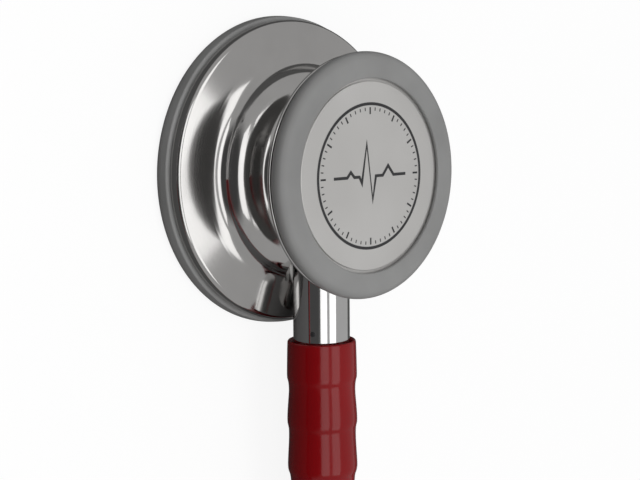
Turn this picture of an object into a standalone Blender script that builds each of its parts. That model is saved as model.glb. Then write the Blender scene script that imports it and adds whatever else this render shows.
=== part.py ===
"""Stethoscope: a dual-head chestpiece on a stem, its hose, the Y fork and the binaural headset.

Frame: it lies on a table, the plane z = 0. The origin is the centre of the large diaphragm's
face. +Z runs along the chestpiece's axis to the small head, and +X along the stem to the hose.
Sizes below are in millimetres and are scaled once, where the meshes and places are made.
"""

from math import atan2, cos, pi, radians, sin

import bmesh
import bpy
from mathutils import Vector

MM = 0.001

# ---------------------------------------------------------------- driving dimensions (mm)
GAP = 0.3                   # clearance between neighbouring pieces
STEM_HEIGHT = 9.6          # stem axis above the table
LARGE_RIM_RADIUS = 23.0
SMALL_RIM_RADIUS = 17.6
HEAD_HEIGHT = 20.6          # crest of the small rim above the table
NECK_RADIUS = 10.5
CHANNEL_RADIUS = 1.6        # sound channels of the head, the stem and its port
BORE_RADIUS = 3.8           # cross bore in the neck, where the spindle turns
BORE_END = -7.2
SPINDLE_RADIUS = BORE_RADIUS - GAP
STEM_RADIUS = 4.2
STEM_START = 12.3
STEM_END = 43.0
COLLAR_RADIUS = 5.0
DETENT_X = 3.5              # the detent ball's groove on the spindle
DETENT_RADIUS = 0.9
O_RING_PLACES = (-4.6, 6.4)

HOSE_START = 24.8           # open end of the hose on the stem
HOSE_RIB_RADIUS = 5.22
RIB_CRESTS = (29.9, 36.8, 43.7)     # along the stem's axis, with a trough after each
RIB_TROUGHS = (4.96, 5.01, 4.84)
HOSE_RADIUS = 4.75
GRIP_END = 46.5             # the ribs end here and the plain hose begins
HOSE_BORE_RADIUS = 4.05

FORK_X = 123.0              # where the hose enters the fork
FORK_Y = -122.0             # middle line of the headset
FORK_HEIGHT = 10.0
ARM_RADIUS = 4.6
ARM_BORE_RADIUS = 3.5
ARM_HEIGHT = 4.65
EAR_TUBE_RADIUS = 3.2
EAR_TUBE_BORE_RADIUS = 2.3
ELBOW_END = 50.0            # distance from the fork's entry where the arm starts to turn as one piece
PIVOT = (39.0, 12.6)        # (along, across) of an arm's hinge, in the middle of its elbow

HEAD_SIDES = 32
STEM_SIDES = 16
TUBE_SIDES = 10

# The hose's route, (x, y, height): out of the stem, down to the table, round and back to the fork.
HOSE_ROUTE = [
    (46.8, 0.0, STEM_HEIGHT), (54.0, 0.1, 9.45), (66.0, 0.4, 8.6), (80.0, 1.6, 7.1),
    (95.0, 4.0, 5.6), (112.0, 7.4, 5.0), (131.0, 10.6, 5.0), (149.0, 11.7, 5.0),
    (168.4, 8.2, 5.0), (187.0, -2.6, 5.0), (201.4, -19.6, 5.0), (209.6, -41.8, 5.0),
    (209.6, -66.2, 5.0), (201.6, -88.6, 5.0), (187.2, -106.0, 5.0), (168.6, -117.4, 5.0),
    (149.0, -121.8, 5.0), (135.0, -122.0, 5.0), (FORK_X + GAP, FORK_Y, 5.0),
]

# The headset's centre lines on its left side, (along, across, height). The right side mirrors them.
ELBOW_ROUTE = [(30.4, 9.7, ARM_HEIGHT), (37.0, 11.9, ARM_HEIGHT), (43.0, 13.9, ARM_HEIGHT),
               (ELBOW_END - GAP, 16.1, ARM_HEIGHT)]
ARM_ROUTE = [(ELBOW_END, 16.2, ARM_HEIGHT), (62.0, 20.1, ARM_HEIGHT), (76.0, 24.4, ARM_HEIGHT),
             (92.0, 28.7, ARM_HEIGHT), (108.0, 32.4, ARM_HEIGHT), (116.0, 34.0, ARM_HEIGHT)]
EAR_TUBE_ROUTE = [(104.0, 31.5, ARM_HEIGHT), (118.0, 34.6, ARM_HEIGHT + 0.1), (136.0, 39.6, 4.9),
                  (156.0, 45.8, 5.3), (176.0, 51.6, 5.9), (194.0, 54.8, 6.7), (209.0, 53.0, 7.7),
                  (221.0, 45.6, 9.2), (228.4, 35.4, 11.1), (232.6, 25.6, 13.3)]


# ---------------------------------------------------------------- tools
def material(name, colour, roughness, metallic=0.0):
    """A Principled BSDF with one colour."""
    made = bpy.data.materials.new(name)
    made.use_nodes = True
    shader = made.node_tree.nodes["Principled BSDF"]
    shader.inputs["Base Color"].default_value = (*colour, 1.0)
    shader.inputs["Roughness"].default_value = roughness
    shader.inputs["Metallic"].default_value = metallic
    return made


def empty(name, place):
    """A joint's pivot, at a place in mm."""
    made = bpy.data.objects.new(name, None)
    made.location = Vector(place) * MM
    bpy.context.collection.objects.link(made)
    return made


def add_object(name, data, finish, parent=None, place=(0, 0, 0), direction=(0, 0, 1)):
    """Link an object whose own +Z points in a direction, at a world place in mm."""
    made = bpy.data.objects.new(name, data)
    made.location = Vector(place) * MM
    made.rotation_mode = "QUATERNION"
    made.rotation_quaternion = Vector((0, 0, 1)).rotation_difference(Vector(direction))
    if parent:
        made.parent = parent
        made.location -= parent.location
    data.materials.append(finish)
    bpy.context.collection.objects.link(made)
    return made


def finish_mesh(name, shape):
    """Turn a bmesh in mm into a mesh in metres, smooth where it is round."""
    bmesh.ops.recalc_face_normals(shape, faces=shape.faces)
    bmesh.ops.scale(shape, vec=(MM, MM, MM), verts=shape.verts)
    mesh = bpy.data.meshes.new(name)
    shape.to_mesh(mesh)
    shape.free()
    mesh.shade_smooth()
    mesh.set_sharp_from_angle(angle=radians(35))
    return mesh


def lathe(profile, sides, ring=False):
    """Turn (radius, height) points round Z. A ring's profile is a closed loop off the axis."""
    shape = bmesh.new()
    rings = []
    for radius, height in profile:
        if radius < 1e-6:
            rings.append([shape.verts.new((0, 0, height))] * sides)
            continue
        turns = [2 * pi * (step + 0.5) / sides for step in range(sides)]
        rings.append([shape.verts.new((radius * cos(a), radius * sin(a), height)) for a in turns])
    pairs = list(zip(rings, rings[1:]))
    if ring:
        pairs.append((rings[-1], rings[0]))
    for upper, lower in pairs:
        for step in range(sides):
            after = (step + 1) % sides
            corners = [upper[step], upper[after], lower[after], lower[step]]
            shape.faces.new(list(dict.fromkeys(corners)))
    return shape


def turned(name, profile, finish, sides, ring=False, **where):
    """A turned piece."""
    return add_object(name, finish_mesh(name, lathe(profile, sides, ring)), finish, **where)


def rod(radius, low, high):
    """The profile of a plain solid rod."""
    return [(0, high), (radius, high), (radius, low), (0, low)]


def tube_wall(outer, inner, low, high):
    """The profile of a plain tube."""
    return [(inner, high), (outer, high), (outer, low), (inner, low)]


def smooth_points(route, spacing):
    """Points about a spacing apart on the Catmull-Rom curve through a route."""
    knots = [Vector(point) for point in route]
    knots = [2 * knots[0] - knots[1]] + knots + [2 * knots[-1] - knots[-2]]
    points = []
    for p0, p1, p2, p3 in zip(knots, knots[1:], knots[2:], knots[3:]):
        count = max(1, round((p2 - p1).length / spacing))
        for step in range(count):
            t = step / count
            slope_a = (p2 - p0) / 2
            slope_b = (p3 - p1) / 2
            points.append((2 * t**3 - 3 * t**2 + 1) * p1 + (t**3 - 2 * t**2 + t) * slope_a
                          + (3 * t**2 - 2 * t**3) * p2 + (t**3 - t**2) * slope_b)
    points.append(knots[-2])
    return points


def pipe(route, outer, inner, sides, spacing):
    """An open-ended pipe along a route that stays close to level."""
    points = smooth_points(route, spacing)
    shape = bmesh.new()
    rings = []
    for index, point in enumerate(points):
        before = points[max(index - 1, 0)]
        after = points[min(index + 1, len(points) - 1)]
        along = (after - before).normalized()
        across = along.cross(Vector((0, 0, 1))).normalized()
        up = across.cross(along)
        circle = [across * cos(2 * pi * k / sides) + up * sin(2 * pi * k / sides)
                  for k in range(sides)]
        rings.append(([shape.verts.new(point + side * outer) for side in circle],
                      [shape.verts.new(point + side * inner) for side in circle]))
    walls = [(a, b) for (a, _), (b, _) in zip(rings, rings[1:])]
    walls += [(b, a) for (_, a), (_, b) in zip(rings, rings[1:])]
    walls += [(rings[0][1], rings[0][0]), (rings[-1][0], rings[-1][1])]
    for first, second in walls:
        for k in range(sides):
            after = (k + 1) % sides
            shape.faces.new((first[k], first[after], second[after], second[k]))
    return shape


def wire(name, points, radius, finish, resolution, **where):
    """A solid rod along points in mm: a POLY curve with a round bevel and filled caps."""
    curve = bpy.data.curves.new(name, "CURVE")
    curve.dimensions = "3D"
    curve.bevel_depth = radius * MM
    curve.bevel_resolution = resolution
    curve.use_fill_caps = True
    spline = curve.splines.new("POLY")
    spline.points.add(len(points) - 1)
    for knot, point in zip(spline.points, points):
        knot.co = (*(Vector(point) * MM), 1.0)
    return add_object(name, curve, finish, **where)


def cut(target, cutter):
    """Cut one object with another, which stays a guide."""
    cutter.hide_render = True
    cutter.display_type = "WIRE"
    boolean = target.modifiers.new(cutter.name, "BOOLEAN")
    boolean.operation = "DIFFERENCE"
    boolean.solver = "EXACT"
    boolean.object = cutter


# ---------------------------------------------------------------- chestpiece head
def chestpiece_body(steel, pivot):
    """One turned piece: two shallow bells on a waist, bored along X for the spindle."""
    outside = [
        (14.6, 18.6), (16.1, 18.6), (16.1, 18.4), (15.65, 18.3), (15.65, 17.8), (17.1, 17.8),
        (17.25, 17.65), (17.25, 17.4), (16.7, 17.1), (15.3, 16.5), (13.6, 15.4), (12.1, 14.0),
        (11.1, 12.4), (NECK_RADIUS + 0.1, 11.2), (10.75, 10.3), (11.3, 9.5), (12.4, 8.95),
        (14.2, 8.5), (14.9, 8.1), (15.25, 7.4), (15.7, 6.3), (16.7, 5.5), (21.3, 4.5),
        (22.0, 4.2), (22.3, 3.7),
        (22.3, 2.75), (20.35, 2.75), (20.35, 2.15), (20.75, 2.05), (20.75, 1.8),
    ]
    inside = [
        (19.3, 1.8), (18.8, 2.5), (17.5, 2.75), (3.0, 4.1), (CHANNEL_RADIUS, 4.2),
        (CHANNEL_RADIUS, 15.1), (3.0, 15.3), (13.0, 17.1), (14.3, 17.6),
    ]
    body = turned("chestpiece_body", outside + inside, steel, HEAD_SIDES, ring=True,
                  parent=pivot)
    mouth = COLLAR_RADIUS + GAP
    way = STEM_RADIUS + GAP
    bore = [(0, 20.5), (way, 20.5), (way, 16.0), (mouth, 16.0), (mouth, 9.2), (BORE_RADIUS, 9.2),
            (BORE_RADIUS, BORE_END), (0, BORE_END)]
    cut(body, turned("bore_cutter", bore, steel, STEM_SIDES, parent=pivot,
                     place=(0, 0, STEM_HEIGHT), direction=(1, 0, 0)))
    cut(body, turned("detent_cutter", rod(DETENT_RADIUS + GAP, 2.5, 12.0), steel, 12, parent=pivot,
                     place=(DETENT_X, 0, STEM_HEIGHT), direction=(0, 1, 0)))


def rims(grey, pivot):
    """Two snap-on rings, whose lips hold the diaphragms and whose tongues grip the metal."""
    small = [
        (15.95, 18.0), (17.0, 18.0), (17.3, 18.2), (17.55, 18.7), (SMALL_RIM_RADIUS, 19.1),
        (17.45, 19.75), (16.95, 20.25), (16.2, 20.52), (15.5, HEAD_HEIGHT), (14.6, 20.5),
        (13.8, 20.25), (13.8, 19.9), (16.5, 19.8), (16.5, 18.35), (15.95, 18.2),
    ]
    large = [
        (20.65, 2.25), (20.65, 2.5), (22.6, 2.5), (22.85, 2.3), (LARGE_RIM_RADIUS, 1.3),
        (LARGE_RIM_RADIUS, 0.8), (22.8, 0.35), (22.3, 0.0), (19.5, 0.0), (18.9, 0.06),
        (18.7, 0.15), (18.7, 0.3), (20.7, 0.35), (21.1, 0.6), (21.1, 2.15),
    ]
    turned("small_rim", small, grey, HEAD_SIDES, ring=True, parent=pivot)
    turned("large_rim", large, grey, HEAD_SIDES, ring=True, parent=pivot)


def diaphragms(resin, web, head_pivot, small_pivot, large_pivot):
    """Stepped discs behind the rims' lips, and the thin webs that let them move."""
    small = [(0, 19.9), (13.4, 19.9), (13.4, 19.6), (14.9, 19.6), (14.9, 19.3), (0, 19.3)]
    large = [(0, 1.0), (19.8, 1.0), (19.8, 0.6), (18.3, 0.6), (18.3, 0), (0, 0)]
    turned("small_diaphragm", small, resin, HEAD_SIDES, parent=small_pivot)
    turned("large_diaphragm", large, resin, HEAD_SIDES, parent=large_pivot)
    turned("small_surround", tube_wall(16.2, 13.2, 18.9, 19.1), web, HEAD_SIDES, ring=True,
           parent=head_pivot)
    turned("large_surround", tube_wall(20.8, 18.0, 1.25, 1.5), web, HEAD_SIDES, ring=True,
           parent=head_pivot)


def stem_fittings(steel, pivot):
    """The collar at the bore's mouth, and the ball, spring and screw that click the head."""
    turned("stem_collar", tube_wall(COLLAR_RADIUS, BORE_RADIUS, 9.5, 12.0), steel, STEM_SIDES,
           ring=True, parent=pivot, place=(0, 0, STEM_HEIGHT), direction=(1, 0, 0))
    side = {"parent": pivot, "place": (DETENT_X, 0, STEM_HEIGHT), "direction": (0, 1, 0)}
    middle = 3.3 + DETENT_RADIUS
    ball = [(DETENT_RADIUS * sin(pi * k / 6), middle + DETENT_RADIUS * cos(pi * k / 6))
            for k in range(7)]
    ball[0] = (0, ball[0][1])
    ball[-1] = (0, ball[-1][1])
    turned("detent_ball", ball, steel, 10, **side)
    turns = 3.5
    steps = 28
    coil = [(0.7 * cos(2 * pi * turns * k / steps), 0.7 * sin(2 * pi * turns * k / steps),
             5.6 + 1.7 * k / steps) for k in range(steps + 1)]
    wire("detent_spring", coil, 0.15, steel, 0, **side)
    screw = [(0, 8.6), (0.45, 8.6), (0.45, 9.5), (0.75, 9.5), (DETENT_RADIUS, 9.35),
             (DETENT_RADIUS, 7.7), (0, 7.7)]
    turned("detent_screw", screw, steel, 12, **side)


# ---------------------------------------------------------------- stem and hose
def stem(steel):
    """The stem: spindle with two ring grooves and a detent groove, tube, and barbed end."""
    groove = 2.5
    half = 0.75
    profile = [(0, BORE_END + 0.7), (SPINDLE_RADIUS - 0.3, BORE_END + 0.7),
               (SPINDLE_RADIUS, BORE_END + 1.0)]
    rear, front = O_RING_PLACES
    profile += [(SPINDLE_RADIUS, rear - half), (groove, rear - half), (groove, rear + half),
                (SPINDLE_RADIUS, rear + half)]
    profile += [(SPINDLE_RADIUS, DETENT_X - 1.1), (3.0, DETENT_X - 0.7), (3.0, DETENT_X + 0.7),
                (SPINDLE_RADIUS, DETENT_X + 1.1)]
    profile += [(SPINDLE_RADIUS, front - half), (groove, front - half), (groove, front + half),
                (SPINDLE_RADIUS, front + half)]
    profile += [(SPINDLE_RADIUS, STEM_START), (STEM_RADIUS, STEM_START),
                (STEM_RADIUS, HOSE_START + 2.2)]
    for barb in range(3):
        start = 28.0 + 5.0 * barb
        profile += [(3.3, start), (3.75, start + 0.1)]
    profile += [(3.3, STEM_END), (CHANNEL_RADIUS, STEM_END), (CHANNEL_RADIUS, -2.6), (0, -3.2)]
    line = {"place": (0, 0, STEM_HEIGHT), "direction": (1, 0, 0)}
    body = turned("stem", profile, steel, STEM_SIDES, **line)
    cut(body, turned("port_cutter", rod(1.2, 0.2, 5.0), steel, 10, place=(0, 0, STEM_HEIGHT)))


def o_rings(rubber):
    """The two seals on the spindle."""
    for name, place in zip(("o_ring_rear", "o_ring_front"), O_RING_PLACES):
        middle = 3.25
        section = [(middle + 0.42 * cos(pi * k / 3), place - 0.42 * sin(pi * k / 3))
                   for k in range(6)]
        turned(name, section, rubber, STEM_SIDES, ring=True, place=(0, 0, STEM_HEIGHT),
               direction=(1, 0, 0))


def hose(vinyl):
    """The ribbed hose end on the stem, and the plain hose to the fork."""
    outside = [(4.95, HOSE_START), (5.08, HOSE_START + 0.25)]
    for crest, trough_radius in zip(RIB_CRESTS, RIB_TROUGHS):
        outside += [(HOSE_RIB_RADIUS, crest), (trough_radius, crest + 1.9)]
    outside += [(HOSE_RADIUS, GRIP_END)]
    inside = [(HOSE_BORE_RADIUS, GRIP_END), (HOSE_BORE_RADIUS, 27.6), (STEM_RADIUS + GAP, 27.4),
              (STEM_RADIUS + GAP, HOSE_START)]
    turned("hose_grip", outside + inside, vinyl, STEM_SIDES, ring=True,
           place=(0, 0, STEM_HEIGHT), direction=(1, 0, 0))
    wire("hose", smooth_points(HOSE_ROUTE, 9.0), HOSE_RADIUS, vinyl, 2)


# ---------------------------------------------------------------- headset
def headset_place(along, across, height, side):
    """World place (mm) of a point of the headset, which points to -X from the fork."""
    return Vector((FORK_X - along, FORK_Y + side * across, height))


def raised_outline(outline, low, high):
    """A flat plate of the headset, from its (along, across) outline."""
    shape = bmesh.new()
    face = shape.faces.new([shape.verts.new(headset_place(a, b, low, 1)) for a, b in outline])
    top = bmesh.ops.extrude_face_region(shape, geom=[face])
    lifted = [item for item in top["geom"] if isinstance(item, bmesh.types.BMVert)]
    bmesh.ops.translate(shape, vec=(0, 0, high - low), verts=lifted)
    return shape


def hose_fork(vinyl, steel):
    """The Y fork with its sound channels, and the leaf spring in a slot in its underside."""
    half = [(0.0, 5.6), (9.0, 6.2), (16.0, 8.6), (22.0, 11.4), (28.5, 14.3), (31.5, 5.2),
            (27.0, 2.4)]
    outline = half + [(24.5, 0.0)] + [(a, -b) for a, b in reversed(half)]
    shape = raised_outline(outline, 0, FORK_HEIGHT)
    level = [edge for edge in shape.edges
             if abs(edge.verts[0].co.z - edge.verts[1].co.z) < 1e-6]
    bmesh.ops.bevel(shape, geom=level, offset=1.6, segments=2, profile=0.5, affect="EDGES")
    fork = add_object("hose_fork", finish_mesh("hose_fork", shape), vinyl)
    middle = FORK_HEIGHT / 2
    cut(fork, turned("entry_cutter", rod(2.2, -2.0, 12.5), vinyl, TUBE_SIDES,
                     place=headset_place(0, 0, middle, 1), direction=(-1, 0, 0)))
    for name, side in (("left", 1), ("right", -1)):
        start = headset_place(11.0, 0.0, middle, side)
        run = headset_place(34.0, 11.2, middle, side) - start
        cut(fork, turned(name + "_channel_cutter", rod(2.0, 0.0, run.length), vinyl, TUBE_SIDES,
                         place=start, direction=run))
    leaf_spring(fork, steel)


def strip(name, line, half_width, low, high, finish):
    """A flat strip on edge, which follows (along, across) points of the headset."""
    edges = []
    for index, (along, across) in enumerate(line):
        before = line[max(index - 1, 0)]
        after = line[min(index + 1, len(line) - 1)]
        turn = atan2(after[1] - before[1], after[0] - before[0])
        shift = (-sin(turn) * half_width, cos(turn) * half_width)
        edges.append([(along + shift[0], across + shift[1]),
                      (along - shift[0], across - shift[1])])
    outline = [pair[0] for pair in edges] + [pair[1] for pair in reversed(edges)]
    shape = raised_outline(outline, low, high)
    return add_object(name, finish_mesh(name, shape), finish)


def leaf_spring(fork, steel):
    """A bent strip that closes the arms, set in a slot that opens under the fork."""
    half = [(27.2, 6.4), (23.0, 3.6), (20.6, 1.4)]
    slot_half = [(27.6, 6.7)] + half[1:]
    half_width = 0.35

    def bent(points):
        return points + [(20.0, 0.0)] + [(a, -b) for a, b in reversed(points)]

    strip("leaf_spring", bent(half), half_width, 0.4, 2.2, steel)
    cut(fork, strip("slot_cutter", bent(slot_half), half_width + GAP, -1.0, 2.5, steel))


def arm(name, side, vinyl, steel, pivot):
    """One arm: its soft elbow at the fork, the tubing and the metal ear tube."""

    def route(points):
        return [headset_place(*point, side) for point in points]

    elbow = pipe(route(ELBOW_ROUTE), ARM_RADIUS, ARM_BORE_RADIUS, TUBE_SIDES, 7.0)
    add_object("elbow_" + name, finish_mesh("elbow_" + name, elbow), vinyl)
    tubing = pipe(route(ARM_ROUTE), ARM_RADIUS, ARM_BORE_RADIUS, TUBE_SIDES, 9.0)
    add_object("arm_tube_" + name, finish_mesh("arm_tube_" + name, tubing), vinyl, parent=pivot)
    metal = pipe(route(EAR_TUBE_ROUTE), EAR_TUBE_RADIUS, EAR_TUBE_BORE_RADIUS, 8, 7.0)
    add_object("ear_tube_" + name, finish_mesh("ear_tube_" + name, metal), steel, parent=pivot)


def ear_axis(side):
    """The ear tube's end, and the direction in which the ear tip points and pulls off."""
    end = headset_place(*EAR_TUBE_ROUTE[-1], side)
    return end, (end - headset_place(*EAR_TUBE_ROUTE[-2], side)).normalized()


def ferrule(name, side, steel, pivot):
    """The ring that the ear tip stops against, near the ear tube's end."""
    end, along = ear_axis(side)
    inner = EAR_TUBE_RADIUS + GAP
    profile = [(inner, -7.4), (4.3, -7.4), (4.5, -8.0), (4.5, -10.4), (4.1, -11.2), (inner, -11.2)]
    turned("ferrule_" + name, profile, steel, 12, ring=True, parent=pivot, place=end,
           direction=along)


def ear_tip(name, side, plastic, silicone, pivot):
    """The ear tip: a hard core in a soft bulb, which pulls off along the ear tube's end."""
    end, along = ear_axis(side)
    inner = EAR_TUBE_RADIUS + GAP
    turned("eartip_core_" + name, tube_wall(4.3, inner, -6.4, 1.6), plastic, 12, ring=True,
           parent=pivot, place=end, direction=along)
    bulb = [(4.6, -7.0), (5.0, -7.1), (5.5, -6.2), (5.9, -4.0), (6.5, -1.2), (6.6, 1.0),
            (6.1, 3.6), (5.0, 5.9), (3.6, 7.2), (2.4, 7.6), (1.7, 7.2), (1.6, 4.0), (4.6, 1.9)]
    turned("eartip_" + name, bulb, silicone, 14, ring=True, parent=pivot, place=end,
           direction=along)


# ---------------------------------------------------------------- assembly
for old in list(bpy.data.objects):
    bpy.data.objects.remove(old, do_unlink=True)

BRUSHED = material("brushed_steel", (0.55, 0.54, 0.52), 0.28, 1.0)
POLISHED = material("polished_steel", (0.62, 0.61, 0.60), 0.12, 1.0)
GREY = material("grey_elastomer", (0.22, 0.22, 0.21), 0.55)
RESIN = material("silver_resin", (0.48, 0.47, 0.46), 0.40)
WEB = material("clear_web", (0.30, 0.30, 0.30), 0.50)
RUBBER = material("black_rubber", (0.03, 0.03, 0.03), 0.60)
VINYL = material("red_vinyl", (0.19, 0.012, 0.016), 0.42)
PLASTIC = material("black_plastic", (0.04, 0.04, 0.04), 0.45)
SILICONE = material("soft_silicone", (0.09, 0.09, 0.09), 0.55)

HEAD = empty("head_pivot", (0, 0, STEM_HEIGHT))
SMALL = empty("small_diaphragm_pivot", (0, 0, 19.9))
LARGE = empty("large_diaphragm_pivot", (0, 0, 0))

chestpiece_body(BRUSHED, HEAD)
rims(GREY, HEAD)
diaphragms(RESIN, WEB, HEAD, SMALL, LARGE)
stem_fittings(POLISHED, HEAD)
stem(POLISHED)
o_rings(RUBBER)
hose(VINYL)
hose_fork(VINYL, POLISHED)
for SIDE_NAME, SIDE in (("left", 1), ("right", -1)):
    ARM_PIVOT = empty("arm_pivot_" + SIDE_NAME, headset_place(*PIVOT, ARM_HEIGHT, SIDE))
    TIP_PIVOT = empty("eartip_pivot_" + SIDE_NAME, ear_axis(SIDE)[0])
    arm(SIDE_NAME, SIDE, VINYL, POLISHED, ARM_PIVOT)
    ferrule(SIDE_NAME, SIDE, POLISHED, ARM_PIVOT)
    ear_tip(SIDE_NAME, SIDE, PLASTIC, SILICONE, TIP_PIVOT)
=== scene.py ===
"""Looks of a dual-head stethoscope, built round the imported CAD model. Lengths are in mm."""
from math import cos, pi, radians, sin

import bmesh
import bpy
import numpy as np
from mathutils import Matrix, Vector


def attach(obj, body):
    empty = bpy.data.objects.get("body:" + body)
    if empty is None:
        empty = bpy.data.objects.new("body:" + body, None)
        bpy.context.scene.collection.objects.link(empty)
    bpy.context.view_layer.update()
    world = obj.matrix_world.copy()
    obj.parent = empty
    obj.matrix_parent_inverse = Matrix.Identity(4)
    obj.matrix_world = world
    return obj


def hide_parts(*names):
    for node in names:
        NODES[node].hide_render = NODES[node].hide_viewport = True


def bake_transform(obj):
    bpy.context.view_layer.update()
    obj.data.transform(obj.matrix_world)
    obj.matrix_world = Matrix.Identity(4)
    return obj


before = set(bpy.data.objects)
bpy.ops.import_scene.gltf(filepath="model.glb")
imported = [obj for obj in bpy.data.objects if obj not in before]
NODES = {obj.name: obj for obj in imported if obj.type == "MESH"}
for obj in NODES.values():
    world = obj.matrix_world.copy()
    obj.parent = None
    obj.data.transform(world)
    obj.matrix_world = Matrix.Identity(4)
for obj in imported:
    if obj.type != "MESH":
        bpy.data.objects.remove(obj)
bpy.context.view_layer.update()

MM = 0.001
UP = (0, 0, 1)

# Places that part.py also uses.
STEM_HEIGHT = 9.6
HOSE_RADIUS = 4.75
HOSE_END = 123.3
HOSE_ROUTE = [
    (24.8, 0.0, 9.6), (29.0, 0.0, 9.6), (34.0, 0.0, 9.6), (40.0, 0.0, 9.6),
    (46.8, 0.0, 9.6), (54.0, 0.1, 9.45), (66.0, 0.4, 8.6), (80.0, 1.6, 7.1),
    (95.0, 4.0, 5.6), (112.0, 7.4, 5.0), (131.0, 10.6, 5.0), (149.0, 11.7, 5.0),
    (168.4, 8.2, 5.0), (187.0, -2.6, 5.0), (201.4, -19.6, 5.0), (209.6, -41.8, 5.0),
    (209.6, -66.2, 5.0), (201.6, -88.6, 5.0), (187.2, -106.0, 5.0), (168.6, -117.4, 5.0),
    (149.0, -121.8, 5.0), (135.0, -122.0, 5.0), (HOSE_END, -122.0, 5.0),
]
FORK_X = 123.0
FORK_Y = -122.0
ARM_RADIUS = 4.6
ARM_END = 116.0
ARM_ROUTE = [
    (29.0, 9.2, 4.65), (32.0, 10.25, 4.65), (37.0, 11.9, 4.65), (43.0, 13.9, 4.65),
    (50.0, 16.2, 4.65), (62.0, 20.1, 4.65), (76.0, 24.4, 4.65), (92.0, 28.7, 4.65),
    (108.0, 32.4, 4.65), (ARM_END, 34.0, 4.65),
]
EAR_TUBE_RADIUS = 3.2
EAR_TUBE_ROUTE = [
    (104.0, 31.5, 4.65), (118.0, 34.6, 4.75), (136.0, 39.6, 4.9), (156.0, 45.8, 5.3),
    (176.0, 51.6, 5.9), (194.0, 54.8, 6.7), (209.0, 53.0, 7.7), (221.0, 45.6, 9.2),
    (228.4, 35.4, 11.1), (232.6, 25.6, 13.3),
]

# Mesh detail.
HEAD_SIDES = 192
TUBE_SIDES = 48
EAR_TUBE_SIDES = 40
SHARP_EDGE = 32.0
DIAL_TICKS = 60

# Studio.
LIGHT_DISTANCE = 0.6
ROOM_TONE = 0.48
DARK_TONE = 0.07
DARK_ELEVATION = 4.0
DARK_WITHIN = 30.0
LIT_BEYOND = 54.0
FLOOR_REACH = 3000.0
FLOOR_HEIGHT = -0.05
FLOOR_TONE = 0.14
FLOOR_GLOW = 0.88


# ---------------------------------------------------------------- camera
def add_camera():
    """A long lens at the photograph's viewing angle, with the stem pointing down the picture."""
    yaw = radians(43.5)
    pitch = radians(6.91)
    roll = radians(-0.49)
    side_shift = 0.03
    rise = 9.85
    distance = 209.5
    level = Vector((0, -sin(yaw), cos(yaw)))
    top = Vector((-1, 0, 0))
    back = level * cos(pitch) + top * sin(pitch)
    up = top * cos(pitch) - level * sin(pitch)
    right = up.cross(back)
    local_x = right * cos(roll) + up * sin(roll)
    local_y = up * cos(roll) - right * sin(roll)
    place = back * distance - local_x * side_shift - local_y * rise
    place += Vector((0, 0, STEM_HEIGHT))
    data = bpy.data.cameras.new("camera")
    data.lens = 80.44
    data.sensor_width = 36.0
    data.clip_start = 0.01
    data.clip_end = 10.0
    camera = bpy.data.objects.new("camera", data)
    turn = Matrix((local_x, local_y, back)).transposed().to_4x4()
    camera.matrix_world = Matrix.Translation(place * MM) @ turn
    bpy.context.scene.collection.objects.link(camera)
    bpy.context.scene.camera = camera


# ---------------------------------------------------------------- mesh helpers
def spline(route, spacing):
    """Points (mm) on a smooth curve through the route, about one spacing apart."""
    knots = [Vector(point) for point in route]
    knots = [knots[0] * 2 - knots[1]] + knots + [knots[-1] * 2 - knots[-2]]
    points = []
    for p0, p1, p2, p3 in zip(knots, knots[1:], knots[2:], knots[3:]):
        count = max(1, round((p2 - p1).length / spacing))
        for step in range(count):
            t = step / count
            bend = (p0 * 2 - p1 * 5 + p2 * 4 - p3) * t * t + (p1 * 3 - p0 - p2 * 3 + p3) * t ** 3
            points.append((p1 * 2 + (p2 - p0) * t + bend) / 2)
    points.append(knots[-2])
    return points


def rounded(profile, closed=False, steps=5):
    """The profile with its corners rounded. A corner is (r, z) or (r, z, rounding)."""
    points = []
    count = len(profile)
    for index, corner in enumerate(profile):
        here = Vector(corner[:2])
        size = corner[2] if len(corner) > 2 else 0.0
        inside = closed or 0 < index < count - 1
        if not size or not inside:
            points.append(tuple(here))
            continue
        before = Vector(profile[index - 1][:2]) - here
        after = Vector(profile[(index + 1) % count][:2]) - here
        size = min(size, before.length * 0.48, after.length * 0.48)
        first = here + before.normalized() * size
        last = here + after.normalized() * size
        for step in range(steps + 1):
            t = step / steps
            point = first * (1 - t) ** 2 + here * 2 * t * (1 - t) + last * t * t
            points.append(tuple(point))
    return points


def smooth_profile(knots, spacing=0.35):
    """A smooth curve through (r, z) knots."""
    return [(point.x, point.y) for point in spline([(r, z, 0) for r, z in knots], spacing)]


def add_piece(name, shape, material, smooth_angle=SHARP_EDGE):
    """An object (in the row frame, in metres) from a bmesh in mm."""
    bmesh.ops.scale(shape, vec=(MM, MM, MM), verts=shape.verts)
    bmesh.ops.remove_doubles(shape, verts=shape.verts, dist=1e-7)
    bmesh.ops.recalc_face_normals(shape, faces=shape.faces)
    mesh = bpy.data.meshes.new(name)
    shape.to_mesh(mesh)
    shape.free()
    piece = bpy.data.objects.new(name, mesh)
    bpy.context.scene.collection.objects.link(piece)
    mesh.materials.append(material)
    mesh.shade_smooth()
    mesh.set_sharp_from_angle(angle=radians(smooth_angle))
    return piece


def bake_modifiers(piece):
    """Replaces the piece's mesh by the one that its modifiers make."""
    graph = bpy.context.evaluated_depsgraph_get()
    graph.update()
    made = bpy.data.meshes.new_from_object(piece.evaluated_get(graph))
    piece.modifiers.clear()
    piece.data = made


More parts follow.
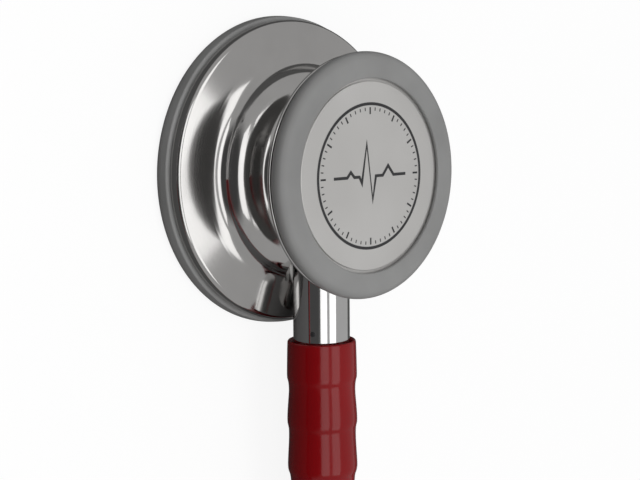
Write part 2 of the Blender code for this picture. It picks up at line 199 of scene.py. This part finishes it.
def cut(piece, cutters):
    """Cuts each cutter's volume out of the piece, and removes the cutters."""
    for cutter in cutters:
        modifier = piece.modifiers.new("cut", "BOOLEAN")
        modifier.operation = "DIFFERENCE"
        modifier.solver = "EXACT"
        modifier.object = cutter
    bake_modifiers(piece)
    for cutter in cutters:
        bpy.data.objects.remove(cutter)
    piece.data.shade_smooth()
    piece.data.set_sharp_from_angle(angle=radians(SHARP_EDGE))


def skin(rings, loop=False):
    """Faces between rings of points; a ring of one point is a tip. A loop joins its ends."""
    shape = bmesh.new()
    made = [[shape.verts.new(point) for point in ring] for ring in rings]
    pairs = list(zip(made, made[1:]))
    if loop:
        pairs.append((made[-1], made[0]))
    for a, b in pairs:
        count = max(len(a), len(b))
        for k in range(count):
            corners = [a[k % len(a)], a[(k + 1) % len(a)], b[(k + 1) % len(b)], b[k % len(b)]]
            face = list(dict.fromkeys(corners))
            if len(face) > 2:
                shape.faces.new(face)
    return shape


def lathe(profile, sides, loop=False, place=(0, 0, 0), axis=UP):
    """A bmesh turned from (r, z) points about an axis through a place."""
    turn = Vector(UP).rotation_difference(Vector(axis))
    start = Vector(place)
    rings = []
    for r, z in profile:
        if r < 1e-6:
            rings.append([start + turn @ Vector((0, 0, z))])
            continue
        angles = [2 * pi * k / sides for k in range(sides)]
        rings.append([start + turn @ Vector((r * cos(a), r * sin(a), z)) for a in angles])
    return skin(rings, loop)


def sweep(route, profile, sides):
    """A bmesh turned from (distance, radius) points round a line of points."""
    line = [Vector(point) for point in route]
    marks = [0.0]
    for a, b in zip(line, line[1:]):
        marks.append(marks[-1] + (b - a).length)
    frames = []
    side = None
    for index, point in enumerate(line):
        ahead = line[min(index + 1, len(line) - 1)] - line[max(index - 1, 0)]
        ahead.normalize()
        if side is None:
            side = Vector(UP) if abs(ahead.z) < 0.9 else Vector((1, 0, 0))
        side = (side - ahead * side.dot(ahead)).normalized()
        frames.append((side, ahead.cross(side)))
    rings = []
    for distance, radius in profile:
        far = min(max(int(np.searchsorted(marks, distance)), 1), len(line) - 1)
        span = marks[far] - marks[far - 1]
        t = (distance - marks[far - 1]) / span
        middle = line[far - 1].lerp(line[far], t)
        if radius < 1e-6:
            rings.append([middle])
            continue
        u = frames[far - 1][0].lerp(frames[far][0], t).normalized()
        v = frames[far - 1][1].lerp(frames[far][1], t).normalized()
        angles = [2 * pi * k / sides for k in range(sides)]
        rings.append([middle + (u * cos(a) + v * sin(a)) * radius for a in angles])
    return skin(rings)


def even_run(start, end, step, radius):
    """Profile points of one radius, a step apart, from a distance up to another."""
    points = []
    distance = start
    while distance < end:
        points.append((distance, radius))
        distance += step
    return points


def length_of(line):
    """The length of a line of points."""
    return sum((b - a).length for a, b in zip(line, line[1:]))


def prism(outline, low, high):
    """A bmesh plate from an (x, y) outline, between two heights."""
    shape = bmesh.new()
    face = shape.faces.new([shape.verts.new((x, y, low)) for x, y in outline])
    top = bmesh.ops.extrude_face_region(shape, geom=[face])
    lifted = [item for item in top["geom"] if isinstance(item, bmesh.types.BMVert)]
    bmesh.ops.translate(shape, vec=(0, 0, high - low), verts=lifted)
    return shape


def join(shape, other):
    """Adds another bmesh to a bmesh."""
    mesh = bpy.data.meshes.new("joined")
    other.to_mesh(mesh)
    other.free()
    shape.from_mesh(mesh)
    bpy.data.meshes.remove(mesh)


def ribbon(line, width):
    """The outline of a flat strip of even width that follows (x, y) points."""
    left = []
    right = []
    for index, (x, y) in enumerate(line):
        before = Vector(line[max(index - 1, 0)])
        after = Vector(line[min(index + 1, len(line) - 1)])
        here = Vector((x, y))
        into = (here - before).normalized() if index else (after - here).normalized()
        out = (after - here).normalized() if index < len(line) - 1 else into
        middle = (into + out).normalized()
        normal = Vector((-middle.y, middle.x))
        reach = width / 2 / max(normal.dot(Vector((-into.y, into.x))), 0.35)
        left.append(tuple(here + normal * reach))
        right.append(tuple(here - normal * reach))
    return left + right[::-1]


# ---------------------------------------------------------------- materials
class Finish:
    """A node material: constants on the shader, and patterns built from the object's place."""

    def __init__(self, name, color, roughness, **constants):
        self.material = bpy.data.materials.new(name)
        self.material.use_nodes = True
        self.tree = self.material.node_tree
        self.shader = self.tree.nodes["Principled BSDF"]
        self.shader.inputs["Base Color"].default_value = (*color, 1)
        self.shader.inputs["Roughness"].default_value = roughness
        for key, value in constants.items():
            self.shader.inputs[key.replace("_", " ")].default_value = value
        self.color = color
        self.roughness = roughness
        place = self.node("ShaderNodeTexCoord").outputs["Object"]
        scaled = self.node("ShaderNodeVectorMath", {0: place, 1: (1000, 1000, 1000)})
        scaled.operation = "MULTIPLY"
        self.place = scaled.outputs[0]
        self.material.diffuse_color = (*color, 1)

    def node(self, kind, inputs=None, **settings):
        """A new node with its settings, and its inputs linked or set."""
        made = self.tree.nodes.new(kind)
        for key, value in settings.items():
            setattr(made, key, value)
        for key, value in (inputs or {}).items():
            if isinstance(value, bpy.types.NodeSocket):
                self.tree.links.new(value, made.inputs[key])
            else:
                made.inputs[key].default_value = value
        return made

    def noise(self, scale, detail=2.0, place=None):
        """Noise with so many features per mm."""
        inputs = {"Vector": place or self.place, "Scale": scale, "Detail": detail}
        return self.node("ShaderNodeTexNoise", inputs).outputs["Fac"]

    def radius(self, centre=(0.0, 0.0, 0.0), flat=(1.0, 1.0, 0.0)):
        """The distance in mm from an axis; flat drops the axis's own direction."""
        shifted = self.node("ShaderNodeVectorMath", {0: self.place, 1: centre})
        shifted.operation = "SUBTRACT"
        kept = self.node("ShaderNodeVectorMath", {0: shifted.outputs[0], 1: flat})
        kept.operation = "MULTIPLY"
        length = self.node("ShaderNodeVectorMath", {0: kept.outputs[0]})
        length.operation = "LENGTH"
        return length.outputs["Value"]

    def rings(self, distance, scale, detail=3.0):
        """Fine lines at a distance from an axis, as turning leaves them."""
        made = self.node("ShaderNodeTexNoise", {"W": distance, "Scale": scale, "Detail": detail},
                         noise_dimensions="1D")
        return made.outputs["Fac"]

    def between(self, value, low, high, out_low, out_high):
        """The value moved from one range to another."""
        made = self.node("ShaderNodeMapRange", {"Value": value, "From Min": low, "From Max": high,
                                                "To Min": out_low, "To Max": out_high})
        return made.outputs[0]

    def add(self, a, b):
        """The sum of two values."""
        return self.node("ShaderNodeMath", {0: a, 1: b}, operation="ADD").outputs[0]

    def vary_roughness(self, value, spread):
        """Roughness moves by the spread with a 0 to 1 pattern."""
        low = self.roughness - spread
        high = self.roughness + spread
        rough = self.between(value, 0.3, 0.7, low, high)
        self.tree.links.new(rough, self.shader.inputs["Roughness"])

    def vary_color(self, value, other, low=0.35, high=0.65):
        """The colour moves to another with a 0 to 1 pattern."""
        amount = self.between(value, low, high, 0.0, 1.0)
        mix = self.node("ShaderNodeMix", {0: amount, 6: (*self.color, 1), 7: (*other, 1)},
                        data_type="RGBA")
        self.tree.links.new(mix.outputs[2], self.shader.inputs["Base Color"])

    def emboss(self, *layers):
        """Bumps of (pattern, height in mm), one on top of another."""
        normal = None
        for pattern, height in layers:
            inputs = {"Height": pattern, "Distance": height * MM, "Strength": 1.0}
            if normal:
                inputs["Normal"] = normal
            normal = self.node("ShaderNodeBump", inputs).outputs["Normal"]
        self.tree.links.new(normal, self.shader.inputs["Normal"])

    def brush(self, axis, amount):
        """Brushed lines that run round an axis."""
        tangent = self.node("ShaderNodeTangent", direction_type="RADIAL", axis=axis)
        self.tree.links.new(tangent.outputs[0], self.shader.inputs["Tangent"])
        self.shader.inputs["Anisotropic"].default_value = amount
        self.shader.inputs["Anisotropic Rotation"].default_value = 0.25


def turned_metal(name, color, roughness, lines, anisotropy, axis="Z", **constants):
    """Machined metal with fine lines round an axis and faint stains."""
    finish = Finish(name, color, roughness, Metallic=1.0, **constants)
    if axis == "Z":
        distance = finish.radius()
    else:
        split = finish.node("ShaderNodeSeparateXYZ", {0: finish.place})
        distance = split.outputs["X"]
    fine = finish.rings(distance, lines)
    coarse = finish.rings(distance, lines * 0.12)
    stains = finish.noise(0.11, 4.0)
    finish.vary_roughness(finish.between(finish.add(fine, stains), 0.0, 2.0, 0.0, 1.0), 0.035)
    darker = tuple(channel * 0.92 for channel in color)
    finish.vary_color(stains, darker)
    finish.emboss((fine, 0.0004), (coarse, 0.0005))
    finish.brush(axis, anisotropy)
    return finish.material


def moulded(name, color, roughness, grain, height, shade=0.85, **constants):
    """Moulded rubber or plastic with a fine grain and a slow change of tone."""
    finish = Finish(name, color, roughness, **constants)
    small = finish.noise(grain, 3.0)
    large = finish.noise(0.09, 3.0)
    finish.vary_color(large, tuple(channel * shade for channel in color))
    finish.vary_roughness(finish.noise(grain * 0.35, 2.0), 0.05)
    finish.emboss((small, height), (finish.noise(0.5, 2.0), height * 1.5))
    return finish.material


def make_materials():
    """Every finish of the object, by the record's slot name or by its own."""
    steel = (0.56, 0.55, 0.54)
    bright = (0.68, 0.675, 0.67)
    made = {
        "brushed_steel": turned_metal("brushed_steel", steel, 0.11, 7.0, 0.4),
        "waist_steel": turned_metal("waist_steel", steel, 0.11, 5.0, 0.3),
        "polished_steel": turned_metal("polished_steel", bright, 0.09, 4.0, 0.25, "X"),
        "grey_elastomer": moulded("grey_elastomer", (0.325, 0.325, 0.322), 0.42, 9.0, 0.004,
                                  Specular_IOR_Level=0.4),
        "clear_web": moulded("clear_web", (0.3, 0.3, 0.3), 0.4, 6.0, 0.003),
        "black_rubber": moulded("black_rubber", (0.03, 0.03, 0.03), 0.6, 6.0, 0.006),
        "red_vinyl": moulded("red_vinyl", (0.27, 0.002, 0.0045), 0.14, 4.0, 0.0015, 0.9,
                             Specular_IOR_Level=0.36),
        "black_plastic": moulded("black_plastic", (0.04, 0.04, 0.04), 0.45, 5.0, 0.004),
        "soft_silicone": moulded("soft_silicone", (0.085, 0.085, 0.09), 0.5, 5.0, 0.006,
                                 Subsurface_Weight=0.1, Subsurface_Radius=(0.001,) * 3),
        "print_ink": moulded("print_ink", (0.028, 0.028, 0.03), 0.45, 8.0, 0.003),
    }
    disc = Finish("silver_resin", (0.60, 0.59, 0.575), 0.34, Metallic=0.35)
    grain = disc.noise(14.0, 2.0)
    disc.vary_color(disc.noise(0.06, 2.0), (0.66, 0.65, 0.635))
    disc.vary_roughness(grain, 0.06)
    disc.emboss((grain, 0.0025), (disc.noise(2.0, 3.0), 0.002))
    made["silver_resin"] = disc.material
    return made


# ---------------------------------------------------------------- pieces
def finish_piece(piece, body, nodes=()):
    """Puts a finished piece on its CAD body and the nodes it stands for."""
    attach(piece, body)
    if nodes:
        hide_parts(*nodes)
    return piece


def hose_piece(vinyl):
    """The hose in one piece: its open, ribbed end on the stem, and the plain run to the fork."""
    line = spline(HOSE_ROUTE, 2.0)
    total = length_of(line)
    lip = [(19.7, 0.0), (19.7, 4.25), (3.4, 4.25), (2.0, 4.3), (0.6, 4.55), (0.12, 4.72),
           (0.0, 4.84), (0.03, 4.97), (0.16, 5.07), (0.4, 5.11)]
    ribs = [(2.0, 5.16), (3.3, 5.19), (4.6, 5.215), (5.2, 5.222), (5.65, 5.2), (6.0, 5.1),
            (6.5, 5.01), (7.4, 4.955), (8.3, 4.99), (9.3, 5.07), (10.2, 5.14), (11.1, 5.2),
            (12.0, 5.23), (12.5, 5.21), (12.9, 5.11), (13.3, 5.04), (14.0, 5.005), (15.0, 5.02),
            (16.2, 5.075), (17.6, 5.16), (18.7, 5.21), (19.3, 5.205), (19.8, 5.11), (20.3, 4.93),
            (20.8, 4.84), (21.6, 4.79), (22.6, HOSE_RADIUS)]
    smooth = smooth_profile([(s, r) for s, r in ribs], 0.35)
    plain = even_run(25.0, total - 1.0, 2.0, HOSE_RADIUS)
    profile = lip + smooth + plain + [(total, HOSE_RADIUS), (total, 0.0)]
    piece = add_piece("hose_red", sweep(line, profile, TUBE_SIDES), vinyl, 50.0)
    finish_piece(piece, "stem_and_hose", ("hose_grip", "hose"))


def head_body(finishes):
    """The metal chestpiece: large plate, waist and small flange, bored for the stem."""
    top = [(14.3, 17.6, 0.3), (14.6, 18.6, 0.15), (16.1, 18.6, 0.1), (16.1, 18.4),
           (15.65, 18.3), (15.65, 17.8), (17.1, 17.8, 0.08), (17.25, 17.64, 0.08),
           (17.25, 17.42, 0.12)]
    neck = smooth_profile([(16.95, 17.22), (16.3, 16.95), (15.0, 16.3), (13.5, 15.3),
                           (12.2, 14.0), (11.3, 12.7), (10.85, 11.6), (10.85, 10.75),
                           (11.15, 10.1), (11.8, 9.6), (12.5, 9.27), (13.3, 8.95)])
    foot = smooth_profile([(13.95, 8.63), (14.5, 8.24), (14.95, 7.72), (15.3, 7.09),
                           (15.6, 6.48), (16.0, 6.0), (16.55, 5.67), (17.2, 5.43),
                           (17.9, 5.24)], 0.12)
    plate = [(22.3, 4.38, 0.85), (22.3, 2.75, 0.08),
             (20.35, 2.75), (20.35, 2.15), (20.75, 2.05), (20.75, 1.8)]
    bell = [(19.3, 1.8, 0.1), (18.8, 2.5, 0.3), (17.5, 2.75, 0.4), (3.0, 4.1, 0.4),
            (1.6, 4.2, 0.3), (1.6, 15.1, 0.3), (3.0, 15.3, 0.4), (13.0, 17.1, 0.4)]
    outline = rounded(top + neck + foot + plate + bell, True, 8)
    piece = add_piece("chestpiece_metal", lathe(outline, HEAD_SIDES, True),
                      finishes["brushed_steel"])
    bore = [(0, -7.2), (3.8, -7.2), (3.8, 9.2), (5.3, 9.2), (5.3, 16.0), (4.5, 16.0),
            (4.5, 20.5), (0, 20.5)]
    rod = lathe(bore, 64, place=(0, 0, STEM_HEIGHT), axis=(1, 0, 0))
    cut(piece, [add_piece("bore", rod, finishes["waist_steel"])])
    piece.data.materials.append(finishes["waist_steel"])
    for face in piece.data.polygons:
        middle = face.center / MM
        if Vector(middle[:2]).length < 15.5 and 6.9 < middle.z < 17.4:
            face.material_index = 1
    finish_piece(piece, "head", ("chestpiece_body",))


def turned_piece(name, profile, material, body, slot, nodes, loop=True, **line):
    """A turned piece from a profile whose corners carry their own rounding."""
    shape = lathe(rounded(profile, loop), HEAD_SIDES, loop, **line)
    return finish_piece(add_piece(name, shape, material), body, nodes)


def rims_and_discs(finishes):
    """The soft rims of both heads, and the discs that they hold."""
    rubber = finishes["grey_elastomer"]
    small = [(15.95, 18.0, 0.08), (16.95, 18.0, 0.2), (17.4, 18.3, 0.35), (17.6, 19.1, 0.45),
             (17.4, 19.85, 0.4), (16.7, 20.42, 0.5), (15.5, 20.6, 0.5), (14.5, 20.52, 0.4),
             (13.8, 20.38, 0.22), (13.8, 19.9, 0.06), (16.5, 19.8), (16.5, 18.35),
             (15.95, 18.2)]
    turned_piece("rim_small", small, rubber, "head", "grey_elastomer", ("small_rim",))
    large = [(20.65, 2.25), (20.65, 2.5, 0.05), (22.6, 2.5, 0.15), (22.85, 2.35, 0.12),
             (23.0, 1.3, 0.3), (23.0, 0.75, 0.3), (22.75, 0.2, 0.3), (22.2, 0.0, 0.3),
             (19.5, 0.0, 0.2), (18.7, 0.12, 0.1), (18.7, 0.3, 0.06), (20.7, 0.35),
             (21.1, 0.6), (21.1, 2.15)]
    turned_piece("rim_large", large, rubber, "head", "grey_elastomer", ("large_rim",))
    face = [(0, 19.9), (6.7, 19.9), (13.32, 19.9, 0.08), (13.4, 19.82, 0.04), (13.4, 19.6),
            (14.9, 19.6, 0.06), (14.9, 19.3, 0.06), (0, 19.3)]
    turned_piece("disc_small", face, finishes["silver_resin"], "small_disc", "silver_resin",
                 ("small_diaphragm",), False)
    under = [(0, 1.0), (19.8, 1.0, 0.1), (19.8, 0.6, 0.08), (18.3, 0.6), (18.3, 0.1, 0.08),
             (18.2, 0.0, 0.06), (9.0, 0.0), (0, 0.0)]
    turned_piece("disc_large", under, finishes["silver_resin"], "large_disc", "silver_resin",
                 ("large_diaphragm",), False)


def printed_dial(ink):
    """A plain dial printed on the small disc: a ring, ticks, and a pulse line across it."""
    low = 19.898
    high = 19.925
    shape = lathe([(10.0, low), (10.42, low), (10.42, high), (10.0, high)], 128, True)
    for mark in range(DIAL_TICKS):
        turn = 2 * pi * mark / DIAL_TICKS
        start = 8.75 if mark % 5 == 0 else 9.25
        half = 0.13 if mark % 5 == 0 else 0.08
        along = Vector((cos(turn), sin(turn)))
        across = Vector((-sin(turn), cos(turn))) * half
        corners = [along * start - across, along * 9.72 - across,
                   along * 9.72 + across, along * start + across]
        join(shape, prism([tuple(corner) for corner in corners], low, high))
    beat = [(-7.2, 0.0), (-4.6, 0.0), (-3.9, 0.75), (-3.2, 0.0), (-2.2, 0.0), (-1.7, -0.9),
            (-0.7, 4.6), (0.45, -3.4), (1.1, 0.0), (2.5, 0.0), (3.6, 1.35), (4.7, 0.0), (7.2, 0.0)]
    line = [(-rise, along) for along, rise in beat]
    join(shape, prism(ribbon(line, 0.42), low, high))
    piece = add_piece("dial_print", shape, ink, 20.0)
    finish_piece(piece, "small_disc")


def stem_pieces(finishes):
    """The polished stem with its seals' grooves, the index dot on it, and the collar."""
    steel = finishes["polished_steel"]
    line = {"place": (0, 0, STEM_HEIGHT), "axis": (1, 0, 0)}
    profile = [(0, -6.5), (3.2, -6.5, 0.1), (3.5, -6.2, 0.1)]
    for middle in (-4.6, 6.4):
        profile += [(3.5, middle - 0.75), (2.5, middle - 0.75), (2.5, middle + 0.75),
                    (3.5, middle + 0.75)]
        if middle < 0:
            profile += [(3.5, 2.4, 0.1), (3.0, 2.8, 0.1), (3.0, 4.2, 0.1), (3.5, 4.6, 0.1)]
    profile += [(3.5, 12.3, 0.1), (4.0, 12.3, 0.1), (4.2, 12.5, 0.1), (4.2, 27.0, 0.1)]
    for start in (28.0, 33.0, 38.0):
        profile += [(3.3, start, 0.1), (3.75, start + 0.1, 0.1)]
    profile += [(3.3, 43.0, 0.1), (1.6, 43.0, 0.1), (1.6, -2.6), (0, -3.2)]
    turned_piece("stem_steel", profile, steel, "stem_and_hose", "polished_steel", ("stem",),
                 False, **line)
    collar = [(3.82, 9.5, 0.1), (5.0, 9.5, 0.2), (5.0, 11.8, 0.25), (4.75, 12.0, 0.1),
              (3.82, 12.0, 0.15)]
    turned_piece("collar_steel", collar, steel, "head", "polished_steel", ("stem_collar",),
                 True, **line)
    normal = Vector((0, -0.878, 0.477))
    dot = lathe([(0, 0.035), (0.3, 0.03), (0.4, 0.0), (0.4, -0.06), (0, -0.06)], 24,
                place=Vector((23.3, 0, STEM_HEIGHT)) + normal * 4.2, axis=normal)
    piece = add_piece("index_dot", dot, finishes["print_ink"])
    finish_piece(piece, "stem_and_hose")


def headset_place(along, across, height, side):
    """World place (mm) of a point of the headset, which points to -X from the fork."""
    return Vector((FORK_X - along, FORK_Y + side * across, height))


def fork_piece(vinyl):
    """The moulded Y fork: three tubes run into one smooth body, with a slot for the spring."""
    middle = 5.0
    trunk = [headset_place(a, 0, middle, 1) for a in (0.0, 6.0, 12.0, 17.0)]
    shape = sweep(trunk, [(0.0, 0.0), (0.0, 5.3), (0.5, 5.75), (6.0, 5.7), (12.0, 5.8),
                          (17.0, 5.6), (17.0, 0.0)], TUBE_SIDES)
    for side in (1, -1):
        points = [(9.0, 1.2, middle), (16.0, 4.4, middle), (23.0, 7.3, middle), (30.0, 9.7, middle)]
        branch = spline([headset_place(*point, side) for point in points], 1.5)
        total = length_of(branch)
        profile = [(0.0, 0.0), (0.0, 4.6), (total * 0.5, 5.2), (total - 0.5, 5.35),
                   (total, 5.0), (total, 0.0)]
        join(shape, sweep(branch, profile, TUBE_SIDES))
    web = [(8.0, 4.4), (24.0, 9.0), (28.3, 7.0), (26.2, 2.8), (25.2, 0.0)]
    outline = [headset_place(a, b, 0, 1) for a, b in web]
    outline += [headset_place(a, -b, 0, 1) for a, b in reversed(web[:-1])]
    join(shape, prism([(point.x, point.y) for point in outline], 1.6, 8.4))
    piece = add_piece("fork_vinyl", shape, vinyl)
    remesh = piece.modifiers.new("remesh", "REMESH")
    remesh.mode = "VOXEL"
    remesh.voxel_size = 0.42 * MM
    ease = piece.modifiers.new("ease", "SMOOTH")
    ease.factor = 0.5
    ease.iterations = 14
    bake_modifiers(piece)
    low = min(vertex.co.z for vertex in piece.data.vertices)
    high = max(vertex.co.z for vertex in piece.data.vertices)
    flatten = min(1.0, 10.0 * MM / (high - low))
    for vertex in piece.data.vertices:
        vertex.co.z = middle * MM + (vertex.co.z - middle * MM) * flatten
    bend = [(27.6, 6.7), (23.0, 3.6), (20.6, 1.4), (20.0, 0.0), (20.6, -1.4), (23.0, -3.6),
            (27.6, -6.7)]
    slot_line = [(FORK_X - a, FORK_Y + b) for a, b in bend]
    cut(piece, [add_piece("slot", prism(ribbon(slot_line, 0.9), -1.0, 2.5), vinyl)])
    finish_piece(piece, "stem_and_hose", ("hose_fork",))


def arm_pieces(name, side, finishes):
    """One arm: curved tubing in place of the elbow and arm tube, the metal ear tube, the ferrule
    and the tip.
    """
    body = "arm_" + name
    tip_body = "tip_" + name
    line = spline([headset_place(*point, side) for point in ARM_ROUTE], 1.5)
    total = length_of(line)
    profile = [(0.0, 0.0), (0.0, ARM_RADIUS)] + even_run(1.5, total - 2.0, 1.5, ARM_RADIUS)
    profile += [(total - 1.0, ARM_RADIUS), (total - 0.4, 4.55), (total - 0.1, 4.35),
                (total, 4.0), (total, 3.7), (total - 0.2, 3.4), (total - 0.7, 3.3),
                (total - 6.0, 3.28), (total - 6.0, 0.0)]
    tubing = add_piece("tubing_" + name, sweep(line, profile, TUBE_SIDES),
                       finishes["red_vinyl"], 50.0)
    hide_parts("elbow_" + name, "arm_tube_" + name)
    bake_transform(tubing)

    route = [headset_place(*point, side) for point in EAR_TUBE_ROUTE]
    metal = spline(route, 1.6)
    total = length_of(metal)
    profile = [(0.0, 0.0), (0.0, 2.9), (0.3, EAR_TUBE_RADIUS)]
    profile += even_run(1.6, total - 1.0, 1.6, EAR_TUBE_RADIUS)
    profile += [(total - 0.3, EAR_TUBE_RADIUS), (total, 2.95), (total, 2.5), (total - 0.3, 2.3),
                (total - 8.0, 2.3), (total - 8.0, 0.0)]
    piece = add_piece("ear_tube_steel_" + name, sweep(metal, profile, EAR_TUBE_SIDES),
                      finishes["polished_steel"])
    finish_piece(piece, body, ("ear_tube_" + name,))

    tip = route[-1]
    line = {"place": tip, "axis": (tip - route[-2]).normalized()}
    ring = [(3.22, -7.4, 0.05), (4.3, -7.4, 0.3), (4.5, -8.0, 0.3), (4.5, -10.4, 0.4),
            (4.1, -11.2, 0.3), (3.22, -11.2, 0.05)]
    turned_piece("ferrule_steel_" + name, ring, finishes["polished_steel"], body,
                 "polished_steel", ("ferrule_" + name,), True, **line)
    bulb = smooth_profile([(4.6, -6.9), (5.0, -7.05), (5.3, -6.7), (5.55, -5.6), (5.9, -4.0),
                           (6.35, -2.0), (6.6, -0.2), (6.55, 1.6), (6.15, 3.3), (5.5, 4.9),
                           (4.6, 6.3), (3.5, 7.2), (2.5, 7.55), (1.8, 7.3), (1.6, 6.6),
                           (1.6, 4.4)], 0.3)
    piece = add_piece("ear_bulb_" + name, lathe(bulb + [(4.6, 1.9)], 64, True, **line),
                      finishes["soft_silicone"])
    finish_piece(piece, tip_body, ("eartip_" + name,))


def keep_cad_nodes(finishes):
    """Gives each CAD node that stays in view the finish of its slot."""
    kept = {
        "black_rubber": ("o_ring_rear", "o_ring_front"),
        "clear_web": ("small_surround", "large_surround"),
        "black_plastic": ("eartip_core_left", "eartip_core_right"),
        "polished_steel": ("detent_ball", "detent_spring", "detent_screw", "leaf_spring"),
    }
    for slot, names in kept.items():
        for name in names:
            mesh = NODES[name].data
            mesh.materials.clear()
            mesh.materials.append(finishes[slot])
            mesh.shade_smooth()
            mesh.set_sharp_from_angle(angle=radians(35.0))


# ---------------------------------------------------------------- studio
def aim(elevation):
    """The direction at an elevation above -Y, in the plane across the stem."""
    return Vector((0, -cos(radians(elevation)), sin(radians(elevation))))


def soft_box(name, elevation, width, length, power):
    """A long soft light beside the head, along the stem's direction."""
    data = bpy.data.lights.new(name, "AREA")
    data.shape = "RECTANGLE"
    data.size = length
    data.size_y = width
    data.energy = power
    light = bpy.data.objects.new(name, data)
    towards = aim(elevation)
    across = Vector((1, 0, 0))
    turn = Matrix((across, towards.cross(across), towards)).transposed().to_4x4()
    place = towards * LIGHT_DISTANCE + Vector((0, 0, STEM_HEIGHT * MM))
    light.matrix_world = Matrix.Translation(place) @ turn
    light.visible_camera = False
    bpy.context.scene.collection.objects.link(light)


def add_world():
    """An even grey room with one dark side; the camera itself sees white."""
    world = bpy.data.worlds.new("room")
    world.use_nodes = True
    bpy.context.scene.world = world
    tree = world.node_tree
    nodes = tree.nodes
    links = tree.links
    room = nodes["Background"]
    place = nodes.new("ShaderNodeTexCoord")
    facing = nodes.new("ShaderNodeVectorMath")
    facing.operation = "DOT_PRODUCT"
    links.new(place.outputs["Generated"], facing.inputs[0])
    facing.inputs[1].default_value = aim(DARK_ELEVATION)
    shade = nodes.new("ShaderNodeMapRange")
    shade.interpolation_type = "SMOOTHSTEP"
    links.new(facing.outputs["Value"], shade.inputs["Value"])
    shade.inputs["From Min"].default_value = cos(radians(LIT_BEYOND))
    shade.inputs["From Max"].default_value = cos(radians(DARK_WITHIN))
    shade.inputs["To Min"].default_value = ROOM_TONE
    shade.inputs["To Max"].default_value = DARK_TONE
    links.new(shade.outputs[0], room.inputs["Color"])
    white = nodes.new("ShaderNodeBackground")
    white.inputs["Color"].default_value = (1, 1, 1, 1)
    path = nodes.new("ShaderNodeLightPath")
    mix = nodes.new("ShaderNodeMixShader")
    links.new(path.outputs["Is Camera Ray"], mix.inputs[0])
    links.new(room.outputs[0], mix.inputs[1])
    links.new(white.outputs[0], mix.inputs[2])
    links.new(mix.outputs[0], nodes["World Output"].inputs["Surface"])


def add_floor():
    """A plain pale floor that the object lies on."""
    shape = bmesh.new()
    reach = FLOOR_REACH
    corners = [(-reach, -reach), (reach, -reach), (reach, reach), (-reach, reach)]
    shape.faces.new([shape.verts.new((x, y, FLOOR_HEIGHT)) for x, y in corners])
    paint = Finish("floor_paint", (FLOOR_TONE,) * 3, 0.9, Specular_IOR_Level=0.0)
    paint.vary_color(paint.noise(0.004, 2.0), (0.145, 0.145, 0.145))
    path = paint.node("ShaderNodeLightPath")
    glow = paint.node("ShaderNodeEmission", {"Color": (1, 1, 1, 1)})
    glow.inputs["Strength"].default_value = FLOOR_GLOW
    both = paint.node("ShaderNodeAddShader", {0: paint.shader.outputs[0], 1: glow.outputs[0]})
    mix = paint.node("ShaderNodeMixShader", {0: path.outputs["Is Camera Ray"],
                                             1: paint.shader.outputs[0], 2: both.outputs[0]})
    output = paint.tree.nodes["Material Output"]
    paint.tree.links.new(mix.outputs[0], output.inputs["Surface"])
    floor = add_piece("floor", shape, paint.material)


# ---------------------------------------------------------------- build
add_camera()
bpy.context.scene.view_settings.view_transform = "Standard"
FINISHES = make_materials()
hose_piece(FINISHES["red_vinyl"])
head_body(FINISHES)
rims_and_discs(FINISHES)
printed_dial(FINISHES["print_ink"])
stem_pieces(FINISHES)
fork_piece(FINISHES["red_vinyl"])
arm_pieces("left", 1, FINISHES)
arm_pieces("right", -1, FINISHES)
keep_cad_nodes(FINISHES)
add_floor()
add_world()
soft_box("soft_front", 56.0, 0.285, 0.8, 0.85)
soft_box("soft_top", 93.5, 0.295, 0.8, 0.9)
